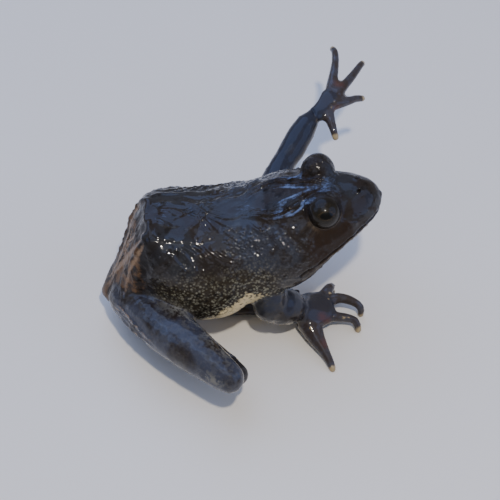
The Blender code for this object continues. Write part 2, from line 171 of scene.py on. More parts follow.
def kindOf(name):
    for word in softness:
        if name.startswith(word):
            return word
    return "torso"


def copyFlesh():
    pieces = []
    for name in fleshNames:
        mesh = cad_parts[name].data.copy()
        mesh.materials.clear()
        mesh.transform(Matrix.Scale(1 / millimetre, 4))
        piece = bpy.data.objects.new("flesh", mesh)
        bpy.context.scene.collection.objects.link(piece)
        pickOnly(piece)
        setMode("EDIT")
        bpy.ops.mesh.select_all(action="SELECT")
        bpy.ops.mesh.remove_doubles(threshold=skinPlan["weld"])
        setMode("OBJECT")
        applyModifier(piece, "DISPLACE", strength=skinPlan["swell"], mid_level=0.0)
        pieces.append(piece)
    clearSelection()
    for side in (1, -1):  # a core in each socket, for the lids to lie on
        bpy.ops.mesh.primitive_uv_sphere_add(segments=32, ring_count=16, location=eyeSpots[side],
                                             radius=eyeRadius + skinPlan["core"])
        core = bpy.context.object
        bpy.ops.object.transform_apply(location=True, rotation=True, scale=True)
        pieces.append(core)
    return pieces


def kindsOf(points):  # which kind of flesh lies under each point
    corners, faces, owners = [], [], []
    for name in fleshNames:
        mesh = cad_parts[name].data
        start = len(corners)
        corners += [v.co / millimetre for v in mesh.vertices]
        for face in mesh.polygons:
            faces.append([start + k for k in face.vertices])
            owners.append(name)
    tree = BVHTree.FromPolygons(corners, faces)
    return np.array([kindOf(owners[tree.find_nearest(Vector(p))[2]]) for p in points])


def readAll(items, key, width=3, kind=float):
    values = np.empty(len(items) * width, dtype=kind)
    items.foreach_get(key, values)
    return values.reshape(-1, width)


def meshArrays(mesh):
    return readAll(mesh.vertices, "co"), readAll(mesh.edges, "vertices", 2, np.int64)


def neighbourMean(values, edges, count):
    one, two = edges[:, 0], edges[:, 1]
    size = len(values)
    found = np.empty_like(values)
    for k in range(values.shape[1]):
        found[:, k] = np.bincount(one, values[two, k], size) + np.bincount(two, values[one, k], size)
    return found / count[:, None]


def relax(values, edges, amount, rounds):
    count = np.maximum(np.bincount(edges.ravel(), minlength=len(values)), 1)
    for _ in range(rounds):
        values = values + (neighbourMean(values, edges, count) - values) * amount[:, None]
    return values


def putPoints(mesh, points):
    mesh.vertices.foreach_set("co", points.ravel())
    mesh.update()


def keepLargest(piece):
    shape = bmesh.new()
    shape.from_mesh(piece.data)
    shape.verts.ensure_lookup_table()
    seen = np.zeros(len(shape.verts), dtype=bool)
    groups = []
    for start in shape.verts:
        if seen[start.index]:
            continue
        seen[start.index] = True
        group = [start]
        for vert in group:
            for edge in vert.link_edges:
                other = edge.other_vert(vert)
                if not seen[other.index]:
                    seen[other.index] = True
                    group.append(other)
        groups.append(group)
    groups.sort(key=len)
    for group in groups[:-1]:
        bmesh.ops.delete(shape, geom=group, context="VERTS")
    shape.to_mesh(piece.data)
    shape.free()


def fuseFlesh():
    pieces = copyFlesh()
    clearSelection()
    for piece in pieces:
        piece.select_set(True)
    bpy.context.view_layer.objects.active = pieces[0]
    bpy.ops.object.join()
    skin = bpy.context.object
    skin.name = skin.data.name = "skin"
    applyModifier(skin, "REMESH", mode="VOXEL", voxel_size=skinPlan["voxel"], adaptivity=0.0)
    keepLargest(skin)
    return skin


def wristShare(points):  # 1 round each wrist, where the forearm melts into the hand
    share = np.zeros(len(points))
    for word in ("left", "right"):
        forearm, hand = [[v.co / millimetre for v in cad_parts[kind + word].data.vertices]
                         for kind in ("forearm_", "hand_")]
        middle = sum(hand, Vector()) / len(hand)
        wrist = min(forearm, key=lambda corner: (corner - middle).length)
        share = np.maximum(share, 1 - fade(gapTo(points, wrist), *skinPlan["wristReach"]))
    return share


def soften(skin):
    points, edges = meshArrays(skin.data)
    amount = np.array([softness[kind] for kind in kindsOf(points)])
    even = np.full(len(points), 0.5)
    amount = relax(amount[:, None], edges, even, skinPlan["blendRounds"])[:, 0] * skinPlan["pull"]
    points = relax(points, edges, amount, skinPlan["rounds"])
    points = relax(points, edges, wristShare(points) * 0.5, skinPlan["wristRounds"])
    putPoints(skin.data, points)
    normals = readAll(skin.data.vertices, "normal")
    least, firmer = skinPlan["shrink"]
    shrink = skinPlan["swell"] * (least + firmer * (1 - amount / skinPlan["pull"]))
    points = points - normals * shrink[:, None]
    points[:, 2] = np.maximum(points[:, 2], 0.0)
    putPoints(skin.data, points)


skin = fuseFlesh()
print("flesh fused:", len(skin.data.vertices), "points")
soften(skin)


def refine(skin, chosen):  # splits the faces whose middle is chosen
    pickOnly(skin)
    marks = chosen(readAll(skin.data.polygons, "center"))
    setMode("EDIT")
    bpy.ops.mesh.select_all(action="DESELECT")
    bpy.ops.mesh.select_mode(type="FACE")
    setMode("OBJECT")
    skin.data.polygons.foreach_set("select", marks)
    setMode("EDIT")
    bpy.ops.mesh.subdivide(number_cuts=1, smoothness=0.0)
    setMode("OBJECT")


def bodyFrame(points):  # forward, left and level of each point, in the body's own frame
    away = points - np.array(onBody(0, 0, 0))
    return away @ np.array(aheadWay), away @ np.array(leftWay), away @ np.array(upWay)


fineZone = {"rear": -8.0, "halfWidth": 9.8, "foot": -13.5}  # mm in the body's own frame


def isTrunk(points):
    forward, left, level = bodyFrame(points)
    return (forward > fineZone["rear"]) & (np.abs(left) < fineZone["halfWidth"]) & (level > fineZone["foot"])


refine(skin, isTrunk)
print("trunk refined:", len(skin.data.vertices), "points")

# tools for carving the skin

carver = {
    "tree": None,  # the skin as it was last read
    "lineStep": 0.12,  # mm between the places of a line
    "farOut": 30.0,  # mm, well outside the body
    "mostPairs": 4000000,  # pairs of points that are measured in one go
}
noise.seed_set(skinPlan["seed"])  # unset, noise vectors would start from the clock


def readSkin():
    points, edges = meshArrays(skin.data)
    normals = readAll(skin.data.vertices, "normal")
    faces = [list(face.vertices) for face in skin.data.polygons]
    carver["tree"] = BVHTree.FromPolygons([Vector(p) for p in points], faces)
    return points, edges, normals


def castRay(start, way):
    hit = carver["tree"].ray_cast(start, way)[0]
    return None if hit is None else np.array(hit)


def seenSpot(x, y):  # the skin's point behind a place in the picture
    return castRay(cameraSpot, lookThrough(x, y))


def sideSpot(forward, level, side):  # where a line from one side meets the body
    return castRay(onBody(forward, side * carver["farOut"], level), leftWay * -side)


def mirrored(spot):  # the same place on the other side of the body
    other = Vector((spot[0], 2 * humpFoot.y - spot[1], spot[2]))
    return np.array(carver["tree"].find_nearest(other)[0])


def bothSpots(x, y):  # that point, after its twin on the other side
    spot = seenSpot(x, y)
    return mirrored(spot), spot


def smoothLine(spots):  # an even curve through the spots
    spots = [s for s in spots if s is not None]
    if len(spots) < 2:
        return np.zeros((0, 3))
    padded = [2 * spots[0] - spots[1], *spots, 2 * spots[-1] - spots[-2]]
    line = []
    for k in range(1, len(spots)):
        a, b, c, d = padded[k - 1:k + 3]
        count = max(2, int(np.linalg.norm(c - b) / carver["lineStep"]))
        for t in np.arange(count) / count:
            line.append(0.5 * (2 * b + (c - a) * t + (2 * a - 5 * b + 4 * c - d) * t ** 2
                               + (3 * b - a - 3 * c + d) * t ** 3))
    line.append(spots[-1])
    return np.array(line)


def nearLine(points, line, reach):  # distance of each point to a line, and how far along the nearest place is
    distance = np.full(len(points), np.inf)
    along = np.zeros(len(points))
    if not len(line):
        return distance, along
    low, high = line.min(0) - reach, line.max(0) + reach
    inside = np.nonzero(((points > low) & (points < high)).all(1))[0]
    for part in np.array_split(inside, max(1, len(inside) * len(line) // carver["mostPairs"])):
        gaps = np.linalg.norm(points[part][:, None] - line[None], axis=2)
        best = gaps.argmin(1)
        distance[part] = gaps[np.arange(len(part)), best]
        along[part] = best / max(1, len(line) - 1)
    return distance, along


def crease(points, line, width, height, taper=0.6):  # height of a rounded ridge, or groove, along a line
    distance, along = nearLine(points, line, width * 3)
    ends = np.sin(np.pi * np.clip(along, 0.02, 0.98)) ** taper
    return height * bell(distance, width) * ends


def noiseAt(points, size, seed=0.0):  # smooth noise between -1 and 1, with lumps of about size mm
    shift = Vector((seed * 7.3, seed * 3.1, seed * 5.7))
    return np.array([noise.noise(Vector(p) / size + shift) for p in points])


def ridgesAt(points, size, seed, stretch):  # crumpled ridges, longer along the body by stretch
    forward, left, level = bodyFrame(points)
    found = np.empty(len(points))  # bent noise, folded where it crosses 0
    for k in range(len(points)):
        p = Vector((forward[k] / (size * stretch), left[k] / size, level[k] / size))
        bend = noise.noise_vector(p * 0.7 + Vector((seed, 0, 0))) * 0.8
        found[k] = 1.0 - abs(noise.noise(p + bend + Vector((0, seed, 0)))) * 2.2
    return found


# what is carved into the skin

eyePlan = {  # per eye: its way forward, out and up, then half the opening's length and height in degrees
    1: ((0.24, 0.94, 0.16), 68.0, 48.0),
    -1: ((0.10, 0.78, 0.56), 77.0, 70.0),
    "tuck": 0.10,  # mm that the skin lies under the eyeball
    "rim": 0.03,  # mm that the rim stands over the eyeball
    "lid": 0.14,  # mm that the lid stands over the eyeball
    "lidReach": {1: 1.5, -1: 1.22},  # where the lid ends, in shares of the opening
    "fold": (0.05, 0.04),  # mm that the lid's fold sinks, its width in shares of the opening
    "grains": (0.09, 0.45),  # mm that its grains rise, and their size
    "hold": (3.3, 4.2),  # mm from the eye's middle where the carving fades
}
headLines = {  # width and height in mm, then the line's places in the picture
    "brow": (0.22, 0.36, [(243, 215), (254, 214), (266, 214), (278, 212), (290, 206), (301, 199), (312, 194),
                          (322, 192), (331, 189), (339, 195), (347, 200)]),
    "browLow": (0.22, 0.22, [(268, 217), (284, 214), (296, 207), (306, 202), (318, 198)]),
    "browHigh": (0.2, 0.18, [(272, 208), (288, 202), (300, 196), (314, 190), (326, 187)]),
    "snoutEdge": (0.4, 0.12, [(347, 200), (353, 197), (362, 190), (370, 188)]),
    "lidFold": (0.16, -0.12, [(306, 214), (312, 204), (322, 197), (332, 195), (340, 199), (345, 207)]),
    "earFold": (0.45, 0.14, [(309, 222), (303, 230), (297, 239), (292, 246), (287, 254), (284, 263)]),
    "earGroove": (0.3, -0.2, [(310, 227), (304, 235), (299, 243), (294, 250), (291, 258), (290, 266)]),
    "cheek": (0.5, 0.12, [(343, 229), (335, 238), (325, 245), (314, 250), (304, 252)]),
    "napeFold": (0.34, 0.14, [(270, 232), (278, 240), (284, 250), (284, 262), (280, 271)]),
}
bodyLines = {
    "back1": (0.24, 0.15, [(180, 198), (196, 204), (206, 212), (216, 215), (232, 217), (246, 212),
        (262, 214)]),
    "back2": (0.24, 0.15, [(168, 208), (180, 212), (194, 217), (204, 222), (212, 231), (221, 238)]),
    "back3": (0.24, 0.14, [(148, 226), (156, 221), (164, 224), (178, 225)]),
    "back4": (0.24, 0.13, [(186, 200), (196, 207), (206, 215), (220, 222), (233, 227)]),
    "back5": (0.24, 0.09, [(196, 218), (206, 221), (214, 229)]),
    "back6": (0.24, 0.09, [(152, 214), (163, 211), (173, 212)]),
    "back7": (0.25, 0.12, [(230, 208), (244, 207), (256, 210), (266, 208)]),
    "hipGroove": (0.9, -0.45, [(158, 241), (153, 252), (147, 265), (142, 278), (141, 291)]),
    "hipEdge": (0.5, 0.40, [(149, 190), (146, 202), (146, 216), (149, 228), (142, 243), (135, 257),
        (128, 270), (122, 283), (122, 294)]),
    "hipLow": (0.3, 0.2, [(150, 230), (160, 238), (172, 240), (186, 242), (200, 243)]),
    "tan1": (0.60, 0.08, [(149, 226), (143, 236), (136, 247), (127, 258), (119, 268), (111, 280),
                          (105, 292)]),
    "tan2": (0.46, 0.12, [(148, 238), (143, 247), (137, 257), (132, 267), (129, 277), (126, 288),
                          (121, 298)]),
    "tan3": (0.30, 0.10, [(137, 232), (129, 244), (122, 256)]),
    "rump1": (0.18, 0.20, [(146, 222), (138, 232), (131, 246), (123, 258), (117, 272), (110, 284)]),
    "rump2": (0.16, 0.12, [(141, 226), (133, 236), (127, 248), (119, 262)]),
    "rump3": (0.16, 0.12, [(144, 240), (136, 250), (130, 262), (124, 274), (117, 284)]),
    "rump4": (0.16, 0.10, [(131, 236), (124, 250), (117, 266), (108, 282)]),
    "rump5": (0.2, 0.12, [(128, 268), (122, 280), (120, 292), (126, 298)]),
    "flank1": (0.36, 0.30, [(168, 247), (174, 250), (182, 253), (190, 262), (196, 270)]),
    "flank2": (0.36, 0.40, [(180, 246), (187, 249), (195, 255), (204, 261)]),
    "flank3": (0.36, 0.38, [(193, 246), (199, 250), (206, 256), (214, 262)]),
    "flank4": (0.36, 0.38, [(204, 246), (209, 251), (217, 257), (227, 262), (238, 264)]),
    "flank5": (0.32, 0.34, [(168, 254), (176, 262), (184, 271), (190, 279)]),
    "flank6": (0.22, 0.14, [(137, 283), (144, 291), (152, 298), (160, 305)]),
    "flank7": (0.2, 0.12, [(196, 272), (204, 281), (214, 291), (224, 300)]),
    "flank8": (0.32, 0.32, [(214, 248), (222, 254), (232, 258), (244, 260)]),
    "shoulder1": (0.22, 0.26, [(246, 189), (252, 184), (258, 181), (263, 182)]),
    "shoulder2": (0.22, 0.26, [(246, 192), (253, 190), (260, 187), (268, 180)]),
    "chestFold": (0.34, 0.14, [(256, 262), (262, 268), (270, 274), (280, 281), (288, 286)]),
}
thighLines = {
    "foldOuter": (0.22, 0.26, [(106, 303), (116, 312), (126, 323), (138, 335), (152, 345)]),
    "foldInner": (0.2, 0.24, [(114, 302), (122, 309), (131, 320), (142, 332), (156, 346)]),
    "foldGroove": (0.16, -0.16, [(110, 303), (119, 311), (129, 322), (140, 334), (154, 346)]),
    "pale0": (0.8, 0.02, [(168, 303), (178, 310), (190, 316), (201, 320)]),
    "pale1": (1.1, 0.02, [(158, 300), (172, 308), (188, 318), (205, 332), (222, 350), (234, 366)]),
    "pale2": (0.7, 0.02, [(200, 372), (212, 380), (224, 386)]),
    "knee1": (0.3, 0.12, [(214, 352), (222, 360), (230, 368)]),
    "knee2": (0.24, -0.12, [(226, 362), (232, 370), (240, 378)]),
}
mouthPlan = {
    "line": [(31.9, -3.5), (30.5, -3.8), (28.5, -4.3), (26.5, -4.85), (24.5, -5.5), (22.6, -6.15),
             (20.9, -6.7), (19.6, -7.6)],  # forward and level, from the snout to the mouth's corner
    "tip": (40.0, 0.0, -3.1),  # ahead of the snout, level with the mouth
    "groove": (0.17, -0.45),  # width and height in mm
    "lip": (0.34, 0.11),
    "chin": (0.3, 0.06),
    "apart": 0.42,  # mm from the groove to the lip and the chin
    "tipReach": (0.5, 4.0),  # mm from the snout's tip where the groove deepens
    "tipShare": 0.3,  # how deep it is at the tip
}


def eyeWays(side):
    ahead, out, up = eyePlan[side][0]
    outward = (aheadWay * ahead + leftWay * side * out + upWay * up).normalized()
    forward = (aheadWay - outward * aheadWay.dot(outward)).normalized()
    return outward, forward, outward.cross(forward) * -side


def openingShare(points, side):  # how far out of the opening each point lies, 1 at the rim, and its angle
    outward, forward, upward = [np.array(way) for way in eyeWays(side)]
    halfLong, halfHigh = eyePlan[side][1:]
    away = points - np.array(eyeSpots[side])
    reach = np.linalg.norm(away, axis=1)
    way = away / np.maximum(reach, 1e-6)[:, None]
    turn = np.degrees(np.arccos(np.clip(way @ outward, -1, 1)))
    angle = np.arctan2(way @ upward, way @ forward)
    edge = 1 / np.sqrt((np.cos(angle) / halfLong) ** 2 + (np.sin(angle) / halfHigh) ** 2)
    return turn / edge, angle, reach, way


def carveEyes(points):
    for side in (1, -1):
        share, _, reach, way = openingShare(points, side)
        tuck, rim, lidEnd = eyePlan["tuck"], eyePlan["rim"], eyePlan["lidReach"][side]
        target = eyeRadius - tuck + (tuck + rim) * fade(share, 0.95, 1.03)
        target = target + (eyePlan["lid"] - rim) * fade(share, 1.02, lidEnd)
        sink, foldWidth = eyePlan["fold"]
        target = target - sink * bell(share - 0.5 - lidEnd / 2, foldWidth)
        near = np.nonzero((reach < eyePlan["hold"][1]) & (share > 1.05))[0]
        grain, grainSize = eyePlan["grains"]
        target[near] += grain * noiseAt(points[near], grainSize, 11.0) * fade(share[near], 1.05, 1.3)
        hold = (1 - fade(share, lidEnd - 0.1, lidEnd + 0.3)) * (1 - fade(reach, *eyePlan["hold"]))
        newReach = reach * (1 - hold) + target * hold
        points = np.array(eyeSpots[side]) + way * newReach[:, None]
    return points


strandPlan = {"brow": (5, 0.5), "back": (3, 0.35), "rump": (3, 0.30), "shoulder": (3, 0.35)}  # number, spread
wobblePlan = {"base": 0.75, "swing": 0.5, "size": 0.9}  # how the height of a line wanders


def strandsOf(name, line):  # a bundle of wandering lines in place of one, where the skin is crumpled
    kind = name.rstrip("0123456789").removesuffix("Low").removesuffix("High")
    count, spread = strandPlan.get(kind, (1, 0.0))
    if count == 1:
        return [line]
    ways = np.gradient(line, axis=0)
    outs = np.array([carver["tree"].find_nearest(Vector(p))[1] for p in line])
    across = np.cross(outs, ways)
    across /= np.maximum(np.linalg.norm(across, axis=1), 1e-9)[:, None]
    along = np.cumsum(np.linalg.norm(ways, axis=1))
    found = []
    for k in range(count):
        wander = np.array([noise.noise(Vector((a / 2.6, k * 5.3 + len(line), 0.5))) for a in along])
        shift = spread * ((2 * k + 1) / count - 1 + wander * 1.1)
        found.append(line + across * shift[:, None])
    return found


def linesOf(table, bothSides):
    found = []
    for name, (width, height, places) in table.items():
        spots = [seenSpot(x, y) for x, y in places]
        spots = [s for s in spots if s is not None]
        sides = [spots, [mirrored(s) for s in spots]] if bothSides else [spots]
        for run in sides:
            for strand in strandsOf(name, smoothLine(run)):
                found.append((strand, width, height, name))
    return found


def carveLines(points, normals, lines):
    wobble = wobblePlan["base"] + wobblePlan["swing"] * noiseAt(points, wobblePlan["size"], 3.0)
    rise = np.zeros(len(points))
    for line, width, height, _ in lines:
        made = crease(points, line, width, height)
        if height > 0:  # where ridges cross, the higher one stays
            rise = np.where(np.abs(made) > np.abs(rise), made, rise + made * 0.5)
        else:
            rise = rise + made
    return points + normals * (rise * wobble)[:, None]


def mouthLine():
    sides = {side: [sideSpot(*place, side) for place in mouthPlan["line"]] for side in (1, -1)}
    tip = castRay(onBody(*mouthPlan["tip"]), -aheadWay)
    return smoothLine([*reversed(sides[-1]), tip, *sides[1]])


def carveMouth(points, normals, line):
    width, height = mouthPlan["groove"]
    tip = line[len(line) // 2]
    fromTip = fade(gapTo(points, tip), *mouthPlan["tipReach"])
    atTip = mouthPlan["tipShare"]
    rise = crease(points, line, width, height, 0.15) * (atTip + (1 - atTip) * fromTip)
    for word, way in (("lip", 1.0), ("chin", -1.0)):
        width, height = mouthPlan[word]
        beside = line + np.array(upWay) * way * mouthPlan["apart"]
        rise = rise + crease(points, beside, width, height, 0.3)
    return points + normals * rise[:, None]


nostrilPlan = {"seen": (359, 191), "radius": 0.22, "deep": 0.5, "rim": 0.10, "rimRadius": 0.42,
               "rimWidth": 0.14}
earPlan = {"seen": (303, 247), "radius": 0.9, "edge": 0.25, "sink": 0.10, "rim": 0.05, "rimWidth": 0.16}


def carveNostrils(points, normals):
    for spot in bothSpots(*nostrilPlan["seen"]):
        gap = gapTo(points, spot)
        pit = nostrilPlan["deep"] * np.exp(-(gap / nostrilPlan["radius"]) ** 4)
        rim = nostrilPlan["rim"] * bell(gap - nostrilPlan["rimRadius"], nostrilPlan["rimWidth"])
        points = points + normals * (rim - pit)[:, None]
    return points


def carveEars(points, normals):
    for spot in bothSpots(*earPlan["seen"]):
        gap = gapTo(points, spot)
        sink = earPlan["sink"] * (1 - fade(gap, earPlan["radius"] - earPlan["edge"], earPlan["radius"]))
        rim = earPlan["rim"] * bell(gap - earPlan["radius"], earPlan["rimWidth"])
        points = points + normals * (rim - sink)[:, None]
    return points


wartSteepness = 1.4
wartTop = 0.12  # mm, the height at which a wart's top has its full painted highlight
wartPlan = {  # pieces, forward reach, level reach, how many, smallest and largest radius, height over radius
    "crown": (("head",), (13, 26.5), (-1.5, 6), 560, 0.16, 0.36, 0.26),
    "cheeks": (("head", "lower_jaw"), (14, 30), (-8, -1.5), 260, 0.13, 0.28, 0.26),
    "neck": (("torso", "head"), (10, 22), (-8, -1.6), 900, 0.12, 0.28, 0.58),
    "hip": (("torso", "pelvis"), (-1, 8), (-4.6, -1.8), 160, 0.12, 0.20, 0.54),
    "shoulderLine": (("torso",), (2, 14), (-3.8, -1.6), 70, 0.14, 0.28, 0.40),
    "flank": (("torso",), (0, 17), (-9, -3), 260, 0.14, 0.32, 0.28),
    "lowFlank": (("torso",), (2, 14), (-13, -6), 420, 0.12, 0.24, 0.20),
    "rump": (("pelvis", "torso"), (-12, 0), (-16, 0), 110, 0.14, 0.28, 0.16),
    "arms": (("upper_arm", "forearm"), (-40, 60), (-40, 20), 260, 0.14, 0.30, 0.28),
    "legs": (("thigh", "shank"), (-40, 60), (-40, 20), 520, 0.13, 0.32, 0.22),
}


def wartSpots(points, kinds):  # middle, radius and height of every wart
    dice = np.random.default_rng(skinPlan["seed"])
    forward, _, level = bodyFrame(points)
    found = []
    for words, reachAhead, reachUp, count, small, large, tall in wartPlan.values():
        choices = np.nonzero(np.isin(kinds, words) & (forward > reachAhead[0]) & (forward < reachAhead[1])
                             & (level > reachUp[0]) & (level < reachUp[1]))[0]
        for k in dice.choice(choices, count):
            radius = small + (large - small) * dice.random() ** 2
            found.append((points[k].copy(), radius, radius * tall))
    return found


def wartRise(points, warts):  # mm that the warts lift each point
    rise = np.zeros(len(points))
    order = np.argsort(points[:, 0])
    sortedX = points[order, 0]
    for spot, radius, tall in warts:
        first, last = np.searchsorted(sortedX, (spot[0] - radius * 2, spot[0] + radius * 2))
        near = order[first:last]
        gap = gapTo(points[near], spot)
        rise[near] = np.maximum(rise[near], tall * np.exp(-(gap / radius) ** 2 * wartSteepness))
    return rise


wrinklePlan = {  # sizes and heights in mm
    "crumple": (2.8, 2.6, 0.03, 0.018, 0.05),  # size, stretch, height, less on the back, more on the rump
    "ridges": (1.1, 1.8, 0.022, 0.4, 0.6, 0.75),  # size, stretch, height, shares: limbs, trunk, off the back
    "lumps": (2.4, 0.08, 0.12, 0.6),  # size, height, more on the trunk, less of that on the back
    "bumps": (1.1, 0.05, 0.02, 0.05),  # size, height, less on the trunk, more on its sides
    "grain": (0.5, 0.004, 0.012),  # size, height, more on the sides
    "onDigits": 0.3,  # share of it all that is left on digits and tarsi
    "fromEyes": (2.6, 3.6),  # mm from an eye's middle where the wrinkles start, and are full
}


def wrinkle(points, normals, kinds):
    forward, _, level = bodyFrame(points)
    trunk = np.isin(kinds, bodyWords).astype(float)
    rump = fade(-forward, 0.3, 2.2)
    back = fade(level, -2.4, -0.6) * (1 - rump)
    side = fade(-level, 1.0, 3.5) * fade(forward, -2.0, 1.0)
    size, stretch, high, less, more = wrinklePlan["crumple"]
    rise = trunk * (high - less * back + more * rump) * fade(ridgesAt(points, size, 1.0, stretch), 0.55, 1.0)
    size, stretch, high, base, more, less = wrinklePlan["ridges"]
    ridges = high * fade(ridgesAt(points, size, 5.0, stretch), 0.6, 1.0)
    rise = rise + ridges * (base + more * trunk) * (1 - less * back)
    size, high, more, less = wrinklePlan["lumps"]
    rise = rise + (high + more * trunk * (1 - less * back)) * noiseAt(points, size, 4.0)
    size, high, less, more = wrinklePlan["bumps"]
    rise = rise + (high - trunk * (less - more * side)) * noiseAt(points, size, 6.0)
    size, high, more = wrinklePlan["grain"]
    rise = rise + trunk * (high + more * side) * noiseAt(points, size, 9.0)
    digits = np.isin(kinds, ("finger", "foot", "tarsus"))
    rise = np.where(digits, rise * wrinklePlan["onDigits"], rise)
    fromEyes = np.minimum(*[gapTo(points, spot) for spot in eyeSpots.values()])
    rise = rise * fade(fromEyes, *wrinklePlan["fromEyes"])
    return points + normals * rise[:, None]


def carveSkin():
    points, _, normals = readSkin()
    kinds = kindsOf(points)
    lines = linesOf(headLines, True) + linesOf(bodyLines, True) + linesOf(thighLines, False)
    points = wrinkle(points, normals, kinds)
    print("  wrinkled")
    warts = wartSpots(points, kinds)
    points = points + normals * wartRise(points, warts)[:, None]
    points = carveEars(points, normals)
    points = carveLines(points, normals, lines)
    mouth = mouthLine()
    points = carveMouth(points, normals, mouth)
    points = carveNostrils(points, normals)
    points = carveEyes(points)
    points[:, 2] = np.maximum(points[:, 2], 0.0)
    putPoints(skin.data, points)
    return lines, warts, mouth


allLines, allWarts, mouth = carveSkin()
print("skin carved")


def triangleCount():
    return sum(len(face.vertices) - 2 for face in skin.data.polygons)


def thinOut():
    triangles = triangleCount()
    if triangles > skinPlan["mostTriangles"]:
        applyModifier(skin, "DECIMATE", ratio=skinPlan["mostTriangles"] / triangles)
    pickOnly(skin)
    bpy.ops.object.shade_smooth()
    print("skin triangles:", triangles, "->", triangleCount())


thinOut()

# where the skin's colours lie

linePaint = [  # region, names of its lines, spread in widths, strength
    # painted shade: darkens the hip groove
    ("hollowShade", ("hipGroove",), 2.2, 1.0),
    # painted reflection: pale blue along the brow ridges, weaker along the back and shoulder ridges
    ("sheenCrests", ("brow",), 1.1, 1.0),
    ("sheenCrests", ("back", "shoulder"), 0.8, 0.45),
    ("pale", ("pale",), 1.0, 1.0),
    ("tan", ("fold", "tan"), 0.9, 1.0),
]


def lineRegions(points):  # each region is strongest on the crests of its lines
    found = {}
    for region, words, spread, strength in linePaint:
        values = found.get(region, np.zeros(len(points)))
        for line, width, _, name in allLines:
            if name.startswith(words):
                values = np.maximum(values, crease(points, line, width * spread, 1.0) * strength)
        found[region] = values
    return found


tipReach = (0.4, 1.6)  # mm from a finger's end where its pale tip fades


def fingerTips(points):
    tips = np.zeros(len(points))
    for name in fleshNames:
        if not name.startswith("finger"):
            continue
        low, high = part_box("hand_" + name.split("_")[-1])
        palm = (Vector(low) + Vector(high)) / 2
        corners = [v.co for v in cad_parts[name].data.vertices]
        far = max(corners, key=lambda corner: (corner - palm).length) / millimetre
        tips = np.maximum(tips, 1 - fade(gapTo(points, far), *tipReach))
    return tips


handMarks = {  # places in the picture, mm from them where the mark starts to fade and ends, strength
    # pale pads on the fingers; the spot at (311, 328) is a painted glint
    "padsAndGlint": ([(330, 293), (329, 299), (334, 316), (343, 318), (348, 318), (311, 328), (331, 107), (334, 101)],
             0.15, 0.45, 0.8),
    "webs": ([(324, 332), (326, 343), (327, 322), (322, 318), (336, 110), (338, 84)], 0.1, 1.8, 1.0),
}


def spotsOn(points, kind):
    places, full, none, strength = handMarks[kind]
    found = np.zeros(len(points))
    for x, y in places:
        spot = seenSpot(x, y)
        if spot is not None:
            found = np.maximum(found, 1 - fade(gapTo(points, spot), full, none))
    return found * strength


def lidEdge(points):  # the pale thin edge of the lower lid
    found = np.zeros(len(points))
    for side in (1, -1):
        share, angle, reach, _ = openingShare(points, side)
        edge = bell(share - 1.06, 0.06) * fade(-np.sin(angle), -0.1, 0.5)
        found = np.maximum(found, edge * (reach < eyeRadius + 0.5))
    return found


regionPlan = {  # where a region starts and is full (mm from the hump, or how far it faces), strength
    "bellyTop": (-9.3, 0.55, 12.0),  # level of the belly's upper edge, how fast it falls, and from where
    "bellyEdge": (-2.4, 1.2),
    "bellyDown": (0.3, 0.8),
    "limbDown": (0.55, 0.95, 0.6),
    "flankBelow": (3.0, 7.5),
    "flankAhead": (-3.0, 1.0),
    "flankEnd": (14.0, 19.0, 0.9),
    "rump": (0.6, 2.6),
    "cheekAhead": (17.0, 23.0),
    "cheekBelow": (-0.5, 2.5),
    "cheekEnd": (26.0, 29.0, 0.7),
    "neckAhead": (8.0, 14.0),
    "neckEnd": (18.5, 23.5),
    "neckBelow": (0.0, 2.0),
    "neckLowEnd": (4.0, 8.0),
    # how far up a face turns before the painted reflection on the arms starts and is full
    "armSheenUp": (-0.1, 0.5),
    "headTop": (-2.0, 0.0),
    "crownEnd": (24.5, 27.0),
}


